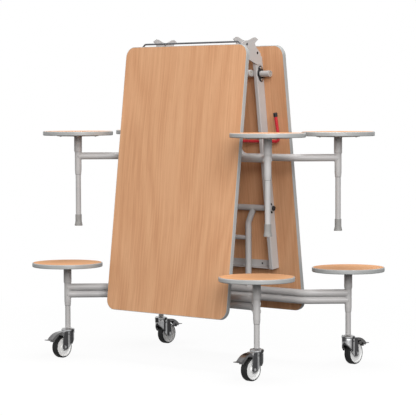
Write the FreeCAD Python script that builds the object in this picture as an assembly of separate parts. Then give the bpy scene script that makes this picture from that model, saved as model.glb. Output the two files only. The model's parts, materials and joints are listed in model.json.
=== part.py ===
"""Mobile folding canteen table with eight round stools, stored upright.

Two table leaves stand back to back like a tent, undersides facing each other, and meet at a
centre hinge near the top.  Each leaf carries two welded stool frames on cross tubes: an outer
one that rolls on braked castors and an inner one that lands on rubber feet when the leaves
come down.  X is the width of the table, Y the way it unfolds, Z is up, and the origin is on
the floor in the middle.  The rear half is on +Y and the front half on -Y.  Each half is drawn
for the rear and half-turned about Z for the front.

Leaf pieces are drawn as the table lies open, about the hinge pin: y runs outwards along the
leaf and z is up.  Stool frame pieces are drawn upright about their own pivot axis.
"""
import FreeCAD, Part
import math
import os

Vector = FreeCAD.Vector
x_axis = Vector(1, 0, 0)
y_axis = Vector(0, 1, 0)
z_axis = Vector(0, 0, 1)

# --- table leaves -------------------------------------------------------------------------
leaf_length = 1223.0
leaf_width = 746.0
leaf_thickness = 20.0
leaf_corner_radius = 48.0
edge_band = 2.0
edge_band_rounding = 1.6
fold_tilt = 6.9               # each leaf leans this far from upright when folded, in degrees
leaf_gap = 6.0                # between the two leaves when the table is open

# --- rails under each leaf ----------------------------------------------------------------
rail_width = 20.0
rail_depth = 48.0
rail_wall = 2.0
rail_rounding = 3.0
rail_start = 48.0             # from the leaf's centre edge
rail_length = 978.0
rear_rail_outside = 250.0     # from the middle of the table to the rail's outer face
angle_leg = 32.0
angle_lip = 38.0              # drop below the leaf, clear of the posts
angle_thickness = 3.0

# --- centre hinge -------------------------------------------------------------------------
hinge_depth = 110.0           # from the underside of a leaf to the hinge pin
plate_thickness = 5.0
plate_gap = 0.5
hinge_pin_radius = 6.0
hinge_pin_head_radius = 9.5
hinge_pin_head = 4.0
plate_boss = 31.0             # plate edge to hinge pin, around the pin
horn_reach = 40.5
horn_height = 86.0
plate_tail = 88.0
plate_hole_radius = 6.0
plate_hole_inset = 11.0

# --- stool frames -------------------------------------------------------------------------
pivot_height = 708.0          # outer pivot above the floor
pivot_spacing = 620.0         # outer to inner pivot, along the leaf
inner_pivot_inset = 124.0     # inner pivot to the leaf's centre edge
pivot_tube_radius = 14.0
pivot_tube_wall = 2.0
outer_pivot_reach = 264.0     # pivot tube end to the middle of the table
inner_pivot_short = 310.0
inner_pivot_long = 371.0
post_spacing = 224.0
post_radius = 14.0
post_wall = 2.0
post_splay = 34.0             # the post's top stands this much further out
post_splay_height = 69.0
post_bend_radius = 45.0
brace_radius = 10.5
brace_wall = 1.5
brace_drop = 141.0            # brace below the pivot
arm_radius = 16.5
arm_wall = 2.0
arm_height = 329.0            # upper arm tube above the floor
arm_pair_gap = 0.2
inner_bend_radius = 60.0
arm_bend_radius = 90.0
leg_reach_x = 587.0
leg_reach_y = 143.0           # leg outwards from the pivot axis
weld_gap = 0.2

# --- stools -------------------------------------------------------------------------------
seat_height = 446.0
seat_diameter = 330.0
seat_thickness = 20.0
seat_band = 5.0
seat_band_rounding = 4.5
seat_plate_side = 146.0
seat_plate_thickness = 4.0
seat_plate_corner = 14.0
sleeve_radius = 18.5
sleeve_length = 68.0
collar_radius = 15.7
collar_cone = 9.0
collar_straight = 82.0
collar_taper = 20.0
collar_end_radius = 14.0
leg_radius = 12.5
leg_bore = 10.5
foot_height = 53.0
foot_radius = 15.0
foot_base_radius = 18.5
foot_flare_height = 15.0
foot_sole = 13.0

# --- castors ------------------------------------------------------------------------------
castor_height = 138.0
wheel_radius = 50.5
wheel_width = 33.0
tyre_depth = 7.0
tyre_rounding = 6.0
wheel_face_depth = 4.0
wheel_rim_lip = 3.0
wheel_hub_radius = 13.0
wheel_hub_width = 34.0
castor_trail = 39.5
axle_radius = 5.0
axle_nut_radius = 6.5
axle_nut = 3.5
fork_wall = 2.5
fork_cheek = 20.0             # outer face of each cheek, beside the wheel
fork_front = 18.0
fork_front_bottom = 86.0      # the cheeks slope back to the axle below this height
fork_top_reach = 44.0
fork_boss_radius = 14.0
rib_start = 4.0
rib_end = 20.0
rib_bottom = 44.0
cover_thickness = 2.0
cover_margin = 2.0
shield_radius = 28.0          # round front cover, ahead of the cheeks
shield_wall = 3.0
shield_end = 3.0
shield_straight = 94.0        # the shield slopes back below this height
shield_bottom = 58.0
knob_radius = 8.0
knob_reach = 31.0
knob_bottom = 110.0
knob_top = 132.0
head_radius = 31.0
head_ring = 10.0
head_cap_radius = 24.0
head_height = 15.0
head_rounding = 2.5
stem_length = 60.0
pedal_width = 33.0
pedal_thickness = 2.5
pedal_depth = 9.0             # side flanges below the tread plate
pedal_root = 10.0             # start of the tread plate, from the swivel axis
pedal_root_height = 113.0
pedal_crown = 72.0
pedal_crown_height = 119.0
pedal_bend = 115.0            # where the tread plate meets its lip
pedal_lip_height = 91.5
pedal_reach = 139.0
pedal_lip_corner = 7.0
pedal_pivot_radius = 3.2
pedal_shoe = 10.0             # brake shoe under the end of the tread plate
pedal_shoe_depth = 13.0

# --- lock handle on the rear leaf, pull rod on the front leaf -----------------------------
handle_radius = 7.5
handle_inset = 434.0          # handle axis to the leaf's centre edge
handle_reach = 330.0
handle_arm = 129.5
handle_lean = 5.0             # arms away from the leaf, in degrees
handle_bend_radius = 20.0
handle_cap_radius = 9.5
handle_cap = 18.0
handle_cap_end = 4.0
handle_bush_flange = 15.0
pull_rod_radius = 4.0
pull_rod_reach = 290.0
pull_rod_advance = 13.5       # past the middle of the table when open
pull_rod_drop = 15.7          # below the leaf
pull_rod_flare = 26.0
pull_rod_leg = 60.0
pull_rod_bend = 14.0
rod_tab = 30.0
rod_tab_thickness = 4.0

# --- fits ---------------------------------------------------------------------------------
running_clearance = 0.08
seat_clearance = 0.1
part_clearance = 0.3
bush_wall = 3.0
flange_radius = 20.0          # two-bolt flange round the inner pivot tube
flange_ear_radius = 9.5
flange_thickness = 7.0
flange_bolt_offset = 26.5
bolt_radius = 4.0
bolt_head_radius = 6.5
bolt_head = 4.0
cap_length = 6.5
cap_radius = 11.0
cap_plug = 12.0

# --- derived ------------------------------------------------------------------------------
tilt = math.radians(fold_tilt)
half_gap = leaf_gap / 2
leaf_underside = hinge_depth
leaf_top = hinge_depth + leaf_thickness
leaf_pivot_z = leaf_underside - rail_depth / 2
inner_pivot_y = half_gap + inner_pivot_inset
outer_pivot_y = inner_pivot_y + pivot_spacing
fold_angle = 90.0 - fold_tilt
folded_turn = FreeCAD.Rotation(x_axis, -fold_angle)
half_turn = FreeCAD.Rotation(z_axis, 180)
outer_pivot_offset = folded_turn.multVec(Vector(0, outer_pivot_y, leaf_pivot_z))
inner_pivot_offset = folded_turn.multVec(Vector(0, inner_pivot_y, leaf_pivot_z))
hinge_pin_height = pivot_height - outer_pivot_offset.z
hinge_pin_at = Vector(0, 0, hinge_pin_height)
outer_pivot_at = hinge_pin_at + outer_pivot_offset
inner_pivot_at = hinge_pin_at + inner_pivot_offset
front_rail_outside = rear_rail_outside - plate_thickness - plate_gap
bush_radius = pivot_tube_radius + bush_wall
seat_top_z = seat_height - pivot_height
seat_bottom_z = seat_top_z - seat_thickness
plate_bottom_z = seat_bottom_z - seat_plate_thickness
arm_z = arm_height - pivot_height
lower_arm_z = arm_z - 2 * arm_radius - arm_pair_gap
floor_z = -pivot_height
arm_corner_x = leg_reach_x - leg_reach_y
handle_y = half_gap + handle_inset


def boxBetween(low, high):
    size = high - low
    return Part.makeBox(size.x, size.y, size.z, low)


def rodBetween(radius, start, end):
    along = end - start
    return Part.makeCylinder(radius, along.Length, start, along)


def tubeBetween(radius, wall, start, end):
    return rodBetween(radius, start, end).cut(rodBetween(radius - wall, start, end))


def circleFace(radius, centre, normal):
    return Part.Face(Part.Wire(Part.makeCircle(radius, centre, normal)))


def bentRod(points, bends, radius):
    """Straight runs through the points, with a bend of its own radius at each inner point."""
    pieces = []
    start = points[0]
    for corner, after, bend in zip(points[1:-1], points[2:], bends):
        incoming = (corner - start).normalize()
        outgoing = (after - corner).normalize()
        turn = incoming.getAngle(outgoing)
        setback = bend * math.tan(turn / 2)
        bend_start = corner - incoming * setback
        bend_end = corner + outgoing * setback
        axis = incoming.cross(outgoing).normalize()
        centre = bend_start + axis.cross(incoming) * bend
        pieces.append(rodBetween(radius, start, bend_start))
        section = circleFace(radius, bend_start, incoming)
        pieces.append(section.revolve(centre, axis, math.degrees(turn)))
        start = bend_end
    pieces.append(rodBetween(radius, start, points[-1]))
    return pieces[0].multiFuse(pieces[1:]).removeSplitter()


def bentTube(points, bends, radius, wall):
    return bentRod(points, bends, radius).cut(bentRod(points, bends, radius - wall))


def revolved(profile):
    """Turns a closed outline of (radius, height) points about Z."""
    points = [Vector(r, 0, z) for r, z in profile]
    face = Part.Face(Part.makePolygon(points + points[:1]))
    return face.revolve(Vector(0, 0, 0), z_axis, 360)


def roundedOutline(corners):
    """Closed outline in the YZ plane from (y, z, corner radius) points."""
    edges = []
    count = len(corners)
    previous_end = None
    first_start = None
    for index, (y, z, radius) in enumerate(corners):
        corner = Vector(0, y, z)
        before = Vector(0, *corners[index - 1][:2])
        after = Vector(0, *corners[(index + 1) % count][:2])
        towards_before = (before - corner).normalize()
        towards_after = (after - corner).normalize()
        opening = towards_before.getAngle(towards_after)
        setback = radius / math.tan(opening / 2)
        arc_start = corner + towards_before * setback
        arc_end = corner + towards_after * setback
        bisector = (towards_before + towards_after).normalize()
        middle = corner + bisector * (radius / math.sin(opening / 2) - radius)
        if previous_end is None:
            first_start = arc_start
        else:
            edges.append(Part.makeLine(previous_end, arc_start))
        edges.append(Part.Arc(arc_start, middle, arc_end).toShape())
        previous_end = arc_end
    edges.append(Part.makeLine(previous_end, first_start))
    return Part.Wire(edges)


def plateFromOutline(corners, x, thickness):
    face = Part.Face(roundedOutline(corners))
    face.translate(Vector(x, 0, 0))
    return face.extrude(Vector(thickness, 0, 0))


def edgesAlong(shape, direction):
    def runsAlong(edge):
        return len(edge.Vertexes) == 2 and edge.Curve.TypeId == "Part::GeomLine" and (
            abs(edge.tangentAt(edge.FirstParameter).dot(direction)) > 0.999)
    return [edge for edge in shape.Edges if runsAlong(edge)]


def roundedPlate(low, high, corner_radius):
    plate = boxBetween(low, high)
    return plate.makeFillet(corner_radius, edgesAlong(plate, z_axis))


def mirroredPair(shape):
    return [shape, shape.mirror(Vector(0, 0, 0), x_axis)]


def circleAboutX(radius, x_from, x_to, y, z):
    return rodBetween(radius, Vector(x_from, y, z), Vector(x_to, y, z))


# --- leaf pieces, drawn open about the hinge pin ------------------------------------------

def leafPanel():
    inset = Vector(edge_band, edge_band, 0)
    low = Vector(-leaf_width / 2, half_gap, leaf_underside)
    high = Vector(leaf_width / 2, half_gap + leaf_length, leaf_top)
    return roundedPlate(low + inset, high - inset, leaf_corner_radius - edge_band)


def leafEdgeBand():
    low = Vector(-leaf_width / 2, half_gap, leaf_underside)
    high = Vector(leaf_width / 2, half_gap + leaf_length, leaf_top)
    outer = roundedPlate(low, high, leaf_corner_radius)
    rims = [edge for face in outer.Faces if abs(face.normalAt(0, 0).z) > 0.9 for edge in face.Edges]
    return outer.makeFillet(edge_band_rounding, rims).cut(leafPanel())


def rail(outside, holes):
    low = Vector(outside - rail_width, half_gap + rail_start, leaf_underside - rail_depth)
    high = Vector(outside, half_gap + rail_start + rail_length, leaf_underside)
    skin = Vector(rail_wall, rail_wall, rail_wall)
    outer = boxBetween(low, high)
    outer = outer.makeFillet(rail_rounding, edgesAlong(outer, y_axis))
    hollow = outer.cut(boxBetween(low + skin, high - skin))
    for y, radius in holes:
        hollow = hollow.cut(circleAboutX(radius, low.x - 1, high.x + 1, y, leaf_pivot_z))
    return hollow


def crossAngle(half_span, end_y):
    """Angle between the rails: one leg on the leaf, one leg down at their end."""
    end = Vector(half_span, end_y, leaf_underside)
    lip = boxBetween(Vector(-half_span, end_y - angle_thickness, leaf_underside - angle_lip), end)
    flange = boxBetween(Vector(-half_span, end_y - angle_leg, leaf_underside - angle_thickness), end)
    return lip.fuse(flange).removeSplitter()


def railFrame(outside, holes):
    inside = outside - rail_width
    start = half_gap + rail_start
    return mirroredPair(rail(outside, holes)) + [crossAngle(inside, start + rail_length)]


def hingePlate(x):
    rail_face = leaf_underside - rail_depth
    shoulder = leaf_underside - rail_depth / 4
    corners = [
        (-horn_reach * 0.69, horn_height, horn_reach * 0.06),
        (-horn_reach, horn_height * 0.8, horn_reach * 0.22),
        (-horn_reach * 1.01, horn_height * 0.61, horn_reach * 0.22),
        (-plate_boss * 1.03, plate_boss * 0.7, plate_boss * 1.3),
        (-plate_boss * 1.06, -plate_boss, plate_boss * 0.87),
        (plate_boss, -plate_boss, plate_boss * 0.7),
        (plate_tail * 0.94, rail_face * 1.03, plate_tail * 0.06),
        (plate_tail, shoulder * 0.98, plate_tail * 0.08),
        (plate_tail * 0.62, shoulder, plate_tail * 0.34),
        (plate_tail * 0.36, shoulder * 0.94, plate_tail * 0.27),
        (plate_boss * 0.06, rail_face * 1.06, plate_boss * 0.65),
        (-horn_reach * 0.4, horn_height * 0.7, horn_reach * 0.22),
    ]
    plate = plateFromOutline(corners, x, plate_thickness)
    through = (x - 1, x + plate_thickness + 1)
    plate = plate.cut(circleAboutX(hinge_pin_radius + running_clearance, *through, 0, 0))
    plate = plate.cut(circleAboutX(plate_hole_radius, *through, plate_boss, rail_face + plate_hole_inset))
    return plate.cut(circleAboutX(plate_hole_radius, *through, -plate_boss / 2, plate_boss * 0.22))


def hingePin():
    inner_face = front_rail_outside - part_clearance
    outer_face = rear_rail_outside + plate_thickness
    shank = circleAboutX(hinge_pin_radius, inner_face, outer_face, 0, 0)
    inner_head = circleAboutX(hinge_pin_head_radius, inner_face - hinge_pin_head, inner_face, 0, 0)
    outer_head = circleAboutX(hinge_pin_head_radius, outer_face, outer_face + hinge_pin_head, 0, 0)
    return shank.multiFuse([inner_head, outer_head]).removeSplitter()


def bushRing(outside, y):
    inside = outside - rail_width
    sleeve = circleAboutX(bush_radius - seat_clearance, inside, outside, y, leaf_pivot_z)
    bore = pivot_tube_radius + running_clearance
    return sleeve.cut(circleAboutX(bore, inside, outside, y, leaf_pivot_z))


def innerPivotFlange(outside):
    """Two-bolt flange on the rail's outer face, its ears along the rail."""
    y, z = inner_pivot_y, leaf_pivot_z
    face = outside + flange_thickness
    taper = math.asin((flange_radius - flange_ear_radius) / flange_bolt_offset)
    tip = flange_bolt_offset + flange_ear_radius / math.sin(taper)
    waist = flange_radius / math.cos(taper)
    flange = plateFromOutline([(y - tip, z, flange_ear_radius), (y, z - waist, flange_radius),
                               (y + tip, z, flange_ear_radius), (y, z + waist, flange_radius)],
                              outside, flange_thickness)
    flange = flange.cut(circleAboutX(pivot_tube_radius + running_clearance, outside, face, y, z))
    for side in (-1, 1):
        flange = flange.cut(circleAboutX(bolt_radius, outside, face, y + side * flange_bolt_offset, z))
    return flange


def pivotBushes(outside):
    pieces = []
    for y in (inner_pivot_y, outer_pivot_y):
        pieces += mirroredPair(bushRing(outside, y))
    pieces += mirroredPair(innerPivotFlange(outside))
    for side in (-1, 1):
        bolt_y = outer_pivot_y + side * (bush_radius + bolt_radius - 1.5)
        head = circleAboutX(bolt_radius, outside, outside + bolt_head, bolt_y, leaf_pivot_z)
        pieces += mirroredPair(head)
    return pieces


def flangeBolts(outside):
    pieces = []
    face = outside + flange_thickness
    for side in (-1, 1):
        y = inner_pivot_y + side * flange_bolt_offset
        shank = circleAboutX(bolt_radius - seat_clearance, outside, face, y, leaf_pivot_z)
        head = circleAboutX(bolt_head_radius, face, face + bolt_head, y, leaf_pivot_z)
        rim = [edge for edge in head.Edges if abs(edge.BoundBox.Center.x - face - bolt_head) < 0.1]
        pieces += mirroredPair(shank.fuse(head.makeFillet(bolt_head / 3, rim)))
    return pieces


# --- lock handle and pull rod -------------------------------------------------------------

def handleArmDirection():
    lean = math.radians(handle_lean)
    return Vector(0, -math.cos(lean), -math.sin(lean))


def lockHandle():
    left, right = [Vector(side * handle_reach, handle_y, leaf_pivot_z) for side in (-1, 1)]
    arm = handleArmDirection() * handle_arm
    return bentRod([left + arm, left, right, right + arm], [handle_bend_radius] * 2, handle_radius)


def lockHandleCaps():
    pieces = []
    for side in (-1, 1):
        corner = Vector(side * handle_reach, handle_y, leaf_pivot_z)
        tip = corner + handleArmDirection() * handle_arm
        inner_end = tip - handleArmDirection() * (handle_cap - handle_cap_end)
        outer_end = inner_end + handleArmDirection() * handle_cap
        cap = rodBetween(handle_cap_radius, inner_end, outer_end)
        rim = [edge for edge in cap.Edges if edge.BoundBox.Center.distanceToPoint(outer_end) < 0.5]
        cap = cap.makeFillet(3, rim)
        pieces.append(cap.cut(rodBetween(handle_radius + seat_clearance, inner_end, tip)))
    return pieces


def handleBushes(outside):
    inside = outside - rail_width
    fit = handle_radius + bush_wall - seat_clearance
    body = circleAboutX(fit, inside, outside, handle_y, leaf_pivot_z)
    face = outside + bush_wall
    flange = circleAboutX(handle_bush_flange, outside, face, handle_y, leaf_pivot_z)
    bore = circleAboutX(handle_radius + running_clearance, inside, face, handle_y, leaf_pivot_z)
    return mirroredPair(body.fuse(flange).cut(bore))


def pullRod():
    z = leaf_underside - pull_rod_drop
    tab_z = leaf_underside - rod_tab_thickness
    half = [Vector(pull_rod_reach, -pull_rod_advance, z),
            Vector(pull_rod_reach + pull_rod_flare, pull_rod_flare - pull_rod_advance, z),
            Vector(pull_rod_reach + pull_rod_flare, pull_rod_leg, z),
            Vector(pull_rod_reach + pull_rod_flare, pull_rod_leg, tab_z)]
    other_half = [Vector(-point.x, point.y, point.z) for point in reversed(half)]
    bends = [pull_rod_radius * 2.2] + [pull_rod_bend] * 4 + [pull_rod_radius * 2.2]
    rod = bentRod(other_half + half, bends, pull_rod_radius)
    end = half[-1]
    tab = roundedPlate(end - Vector(rod_tab / 2, rod_tab / 2, 0),
                       end + Vector(rod_tab / 2, rod_tab / 2, rod_tab_thickness), rod_tab / 5)
    return rod.multiFuse(mirroredPair(tab)).removeSplitter()


# --- stool frames, drawn upright about the pivot axis -------------------------------------

def legAt(side):
    return Vector(side * leg_reach_x, leg_reach_y, 0)


def postLine(side):
    half = post_spacing / 2
    return [Vector(side * (half + post_splay), 0, 0),
            Vector(side * half, 0, -post_splay_height),
            Vector(side * half, 0, arm_z)]


def copedPost(side):
    """Post from the pivot tube down to the upper arm tube, splayed at the top."""
    post = bentTube(postLine(side), [post_bend_radius], post_radius, post_wall)
    reach = Vector(post_spacing, 0, 0)
    arm_at = Vector(0, 0, arm_z)
    post = post.cut(rodBetween(pivot_tube_radius + weld_gap, -reach, reach))
    post = post.cut(boxBetween(-reach - y_axis * post_radius, reach + Vector(0, post_radius, post_spacing)))
    return post.cut(rodBetween(arm_radius + weld_gap, arm_at - reach, arm_at + reach))


def outerPostFrame():
    """Pivot tube, two posts and the brace between them, welded."""
    reach = Vector(outer_pivot_reach, 0, 0)
    pivot_tube = tubeBetween(pivot_tube_radius, pivot_tube_wall, -reach, reach)
    return [pivot_tube, copedPost(-1), copedPost(1), braceTube(post_radius)]


def braceTube(side_post_radius):
    """Brace between two upright posts, coped to them."""
    half = Vector(post_spacing / 2, 0, 0)
    middle = Vector(0, 0, -brace_drop)
    rise = Vector(0, 0, 2 * brace_radius)
    brace = tubeBetween(brace_radius, brace_wall, middle - half, middle + half)
    for end in (middle - half, middle + half):
        brace = brace.cut(rodBetween(side_post_radius + weld_gap, end - rise, end + rise))
    return brace


def copedToLegs(shape):
    for side in (-1, 1):
        leg = legAt(side)
        shape = shape.cut(rodBetween(collar_radius + weld_gap, leg + Vector(0, 0, floor_z), leg))
    return shape


def outerArmTubes():
    """Two stacked tubes from leg to leg, bent outwards at both ends."""
    pieces = []
    for z in (arm_z, lower_arm_z):
        line = [Vector(-leg_reach_x, leg_reach_y, z), Vector(-arm_corner_x, 0, z),
                Vector(arm_corner_x, 0, z), Vector(leg_reach_x, leg_reach_y, z)]
        pieces.append(copedToLegs(bentTube(line, [arm_bend_radius] * 2, arm_radius, arm_wall)))
    return pieces


def innerBentTubes():
    """One tube each side: down from the pivot tube, out along the arm and back to the leg."""
    half = post_spacing / 2
    line = [Vector(half, 0, 0), Vector(half, 0, arm_z), Vector(arm_corner_x, 0, arm_z),
            Vector(leg_reach_x, leg_reach_y, arm_z)]
    tube = bentTube(line, [inner_bend_radius, arm_bend_radius], arm_radius, arm_wall)
    across = rodBetween(pivot_tube_radius + weld_gap, Vector(0, 0, 0), Vector(post_spacing, 0, 0))
    above = boxBetween(Vector(0, -arm_radius, 0), Vector(post_spacing, arm_radius, arm_radius))
    return mirroredPair(copedToLegs(tube).cut(across).cut(above))


def innerCrossTubes():
    pivot_tube = tubeBetween(pivot_tube_radius, pivot_tube_wall,
                             Vector(-inner_pivot_long, 0, 0), Vector(inner_pivot_short, 0, 0))
    return [pivot_tube, braceTube(arm_radius)]


def stoolLeg(bottom_z):
    """Seat plate, sleeve, swaged collar tube and lower tube of one stool, welded."""
    sleeve_end = plate_bottom_z - sleeve_length
    collar_top = sleeve_end - collar_cone
    taper_top = collar_top - collar_straight
    taper_end = taper_top - collar_taper
    post = revolved([(leg_bore, plate_bottom_z), (sleeve_radius, plate_bottom_z),
                     (sleeve_radius, sleeve_end), (collar_radius, collar_top), (collar_radius, taper_top),
                     (collar_end_radius, taper_end),
                     (leg_radius, taper_end), (leg_radius, bottom_z), (leg_bore, bottom_z)])
    corner = Vector(seat_plate_side / 2, seat_plate_side / 2, 0)
    plate = roundedPlate(Vector(0, 0, plate_bottom_z) - corner, Vector(0, 0, seat_bottom_z) + corner,
                         seat_plate_corner)
    return post.fuse(plate)


def atBothLegs(shape):
    pieces = []
    for side in (-1, 1):
        placed = shape.copy()
        placed.translate(legAt(side))
        pieces.append(placed)
    return pieces


def seatBoard():
    radius = seat_diameter / 2 - seat_band
    return Part.makeCylinder(radius, seat_thickness, Vector(0, 0, seat_bottom_z))


def seatEdge():
    blank = Part.makeCylinder(seat_diameter / 2, seat_thickness, Vector(0, 0, seat_bottom_z))
    rims = [edge for edge in blank.Edges if len(edge.Vertexes) == 1]
    return blank.makeFillet(seat_band_rounding, rims).cut(seatBoard())


def rubberFoot():
    """Flared foot, as tall as foot_height, pushed over the end of the inner leg."""
    bore = leg_radius + seat_clearance
    flare_top = floor_z + foot_flare_height * 1.4
    return revolved([(0, floor_z), (foot_base_radius, floor_z),
                     (foot_base_radius, floor_z + foot_flare_height / 4),
                     (foot_radius, flare_top), (foot_radius, floor_z + foot_height),
                     (bore, floor_z + foot_height), (bore, floor_z + foot_sole), (0, floor_z + foot_sole)])


def outerTubeCaps():
    """Domed push-in caps in the ends of the outer pivot tube."""
    end = outer_pivot_reach
    head = circleAboutX(cap_radius, end, end + cap_length, 0, 0)
    rim = [edge for edge in head.Edges if abs(edge.BoundBox.Center.x - end - cap_length) < 0.1]
    head = head.makeFillet(cap_length / 2, rim)
    plug_radius = pivot_tube_radius - pivot_tube_wall - seat_clearance
    return mirroredPair(head.fuse(circleAboutX(plug_radius, end - cap_plug, end, 0, 0)))


# --- castors, drawn about the swivel axis with the floor at z = 0 --------------------------

def cheekOutline(margin):
    """Side view of the fork, from under the head down to the axle boss."""
    top = castor_height - head_height + 1 - margin
    front = margin - fork_front
    boss = fork_boss_radius - margin
    axle_y, axle_z = castor_trail, wheel_radius
    return [(front, top, boss * 0.1), (front, fork_front_bottom, boss * 1.5),
            (axle_y - 2 * boss, axle_z, boss),
            (axle_y - boss, axle_z - boss, boss * 0.8), (axle_y + boss, axle_z - boss, boss * 0.95),
            (axle_y + boss * 0.8, axle_z + 2 * boss, boss * 1.5), (fork_top_reach - margin, top, boss * 0.6)]


def castorFork():
    """Pressed fork with a rib on each cheek, its swivel head and stem, and the axle with its nuts."""
    half = fork_cheek + cover_thickness
    back = castor_trail + 2 * fork_boss_radius
    inner = fork_cheek - fork_wall
    head_bottom = castor_height - head_height
    shell = plateFromOutline(cheekOutline(0), -fork_cheek, 2 * fork_cheek)
    shell = shell.cut(boxBetween(Vector(-inner, -back, 0), Vector(inner, back, head_bottom - 1)))
    rib = boxBetween(Vector(fork_cheek, rib_start, rib_bottom), Vector(half, rib_end, head_bottom))
    rib = rib.common(plateFromOutline(cheekOutline(0), fork_cheek, cover_thickness))
    ring_top = head_bottom + head_ring
    head = revolved([(0, head_bottom), (head_radius - head_rounding, head_bottom),
                     (head_radius, head_bottom + head_rounding), (head_radius, ring_top - head_rounding),
                     (head_radius - head_rounding, ring_top), (head_cap_radius, ring_top),
                     (head_cap_radius - head_rounding, castor_height - head_rounding),
                     (collar_radius, castor_height), (0, castor_height)])
    stem = Part.makeCylinder(leg_bore - running_clearance, stem_length, Vector(0, 0, castor_height))
    body = shell.multiFuse([head, stem] + mirroredPair(rib)).removeSplitter()
    body = body.cut(circleAboutX(axle_radius + seat_clearance, -half, half, castor_trail, wheel_radius))
    body = body.cut(circleAboutX(pedal_pivot_radius + running_clearance, -half, half, *pedalPivot()))
    nut_face = half + axle_nut
    axle = circleAboutX(axle_radius, -nut_face, nut_face, castor_trail, wheel_radius)
    nut = circleAboutX(axle_nut_radius, fork_cheek, nut_face, castor_trail, wheel_radius)
    return [body, axle.multiFuse(mirroredPair(nut)).removeSplitter()]


def castorShield():
    """Round moulded cover ahead of the cheeks, with a small knob in front of the head."""
    top = castor_height - head_height
    radius = shield_radius
    inner_radius = radius - shield_wall
    edge = shield_wall / 2
    outline = [(-radius, top, edge), (-radius, shield_straight, radius * 1.1),
               (shield_end, shield_bottom, shield_wall), (shield_end, top, edge)]
    side_view = plateFromOutline(outline, -radius, 2 * radius)
    round_front = Part.makeCylinder(radius, castor_height)
    straight = boxBetween(Vector(-radius, 0, 0), Vector(radius, shield_end, castor_height))
    shield = side_view.common(round_front.fuse(straight))
    knob = Part.makeCylinder(knob_radius, knob_top - knob_bottom, Vector(0, -knob_reach, knob_bottom))
    rim = [edge for edge in knob.Edges if abs(edge.BoundBox.Center.z - knob_top) < 0.1]
    shield = shield.fuse(knob.makeFillet(knob_radius / 3, rim))
    inside = Part.makeCylinder(inner_radius, castor_height).cut(
        boxBetween(Vector(-radius, 0, 0), Vector(radius, radius, castor_height)))
    cheeks = boxBetween(Vector(-fork_cheek, -fork_front, 0), Vector(fork_cheek, radius, castor_height))
    head = Part.makeCylinder(head_radius + part_clearance, castor_height, Vector(0, 0, top))
    return shield.cut(inside).cut(cheeks).cut(head)


def castorCovers():
    """Moulded covers: the round shield, and one on each cheek behind the rib, open round the nut."""
    outer = fork_cheek + cover_thickness
    plate = plateFromOutline(cheekOutline(cover_margin), fork_cheek, cover_thickness)
    ahead = boxBetween(Vector(fork_cheek, -shield_radius, rib_bottom - part_clearance),
                       Vector(outer, rib_end + part_clearance, castor_height))
    nut_space = circleAboutX(axle_nut_radius + cover_margin, fork_cheek, outer, castor_trail, wheel_radius)
    return mirroredPair(plate.cut(ahead).cut(nut_space)) + [castorShield()]


def wheelRevolved(profile):
    """Turns an outline of (radius, offset along the axle) about the axle."""
    shape = revolved(profile)
    shape.rotate(Vector(0, 0, 0), y_axis, 90)
    shape.translate(Vector(0, castor_trail, wheel_radius))
    return shape


def castorTyre():
    half = wheel_width / 2
    inner = wheel_radius - tyre_depth
    soft = tyre_rounding
    shoulder = soft * (1 - math.sqrt(0.5))
    return wheelRevolved([(inner, -half), (wheel_radius - soft, -half),
                          (wheel_radius - shoulder, shoulder - half), (wheel_radius, soft - half),
                          (wheel_radius, half - soft), (wheel_radius - shoulder, half - shoulder),
                          (wheel_radius - soft, half), (inner, half)])


def castorWheel():
    half = wheel_width / 2
    rim = wheel_radius - tyre_depth - seat_clearance
    disc = half - wheel_face_depth
    hub = wheel_hub_width / 2
    bore = axle_radius + running_clearance
    dish = rim - wheel_rim_lip - wheel_face_depth
    hub_foot = wheel_hub_radius + wheel_face_depth
    return wheelRevolved([(bore, -hub), (wheel_hub_radius, -hub), (hub_foot, -disc), (dish, -disc),
                          (rim - wheel_rim_lip, -half), (rim, -half), (rim, half),
                          (rim - wheel_rim_lip, half), (dish, disc), (hub_foot, disc),
                          (wheel_hub_radius, hub), (bore, hub)])


def pedalSide(drop, depth):
    """Side of the pedal between its bowed top, lowered by drop, and its lower edge."""
    root = Vector(0, pedal_root, pedal_root_height - drop)
    crown = Vector(0, pedal_crown, pedal_crown_height - drop)
    bend = Vector(0, pedal_bend, pedal_lip_height - drop)
    bow = Part.Arc(root, crown, bend).toShape()
    down = Vector(0, 0, depth)
    lower = [bend, bend - down - Vector(0, pedal_depth, 0), crown - down, root - down, root]
    return Part.Face(Part.Wire([bow] + Part.makePolygon(lower).Edges))


def pedalPivot():
    return pedal_root + pedal_pivot_radius, pedal_root_height - pedal_pivot_radius - pedal_thickness / 2


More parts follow.
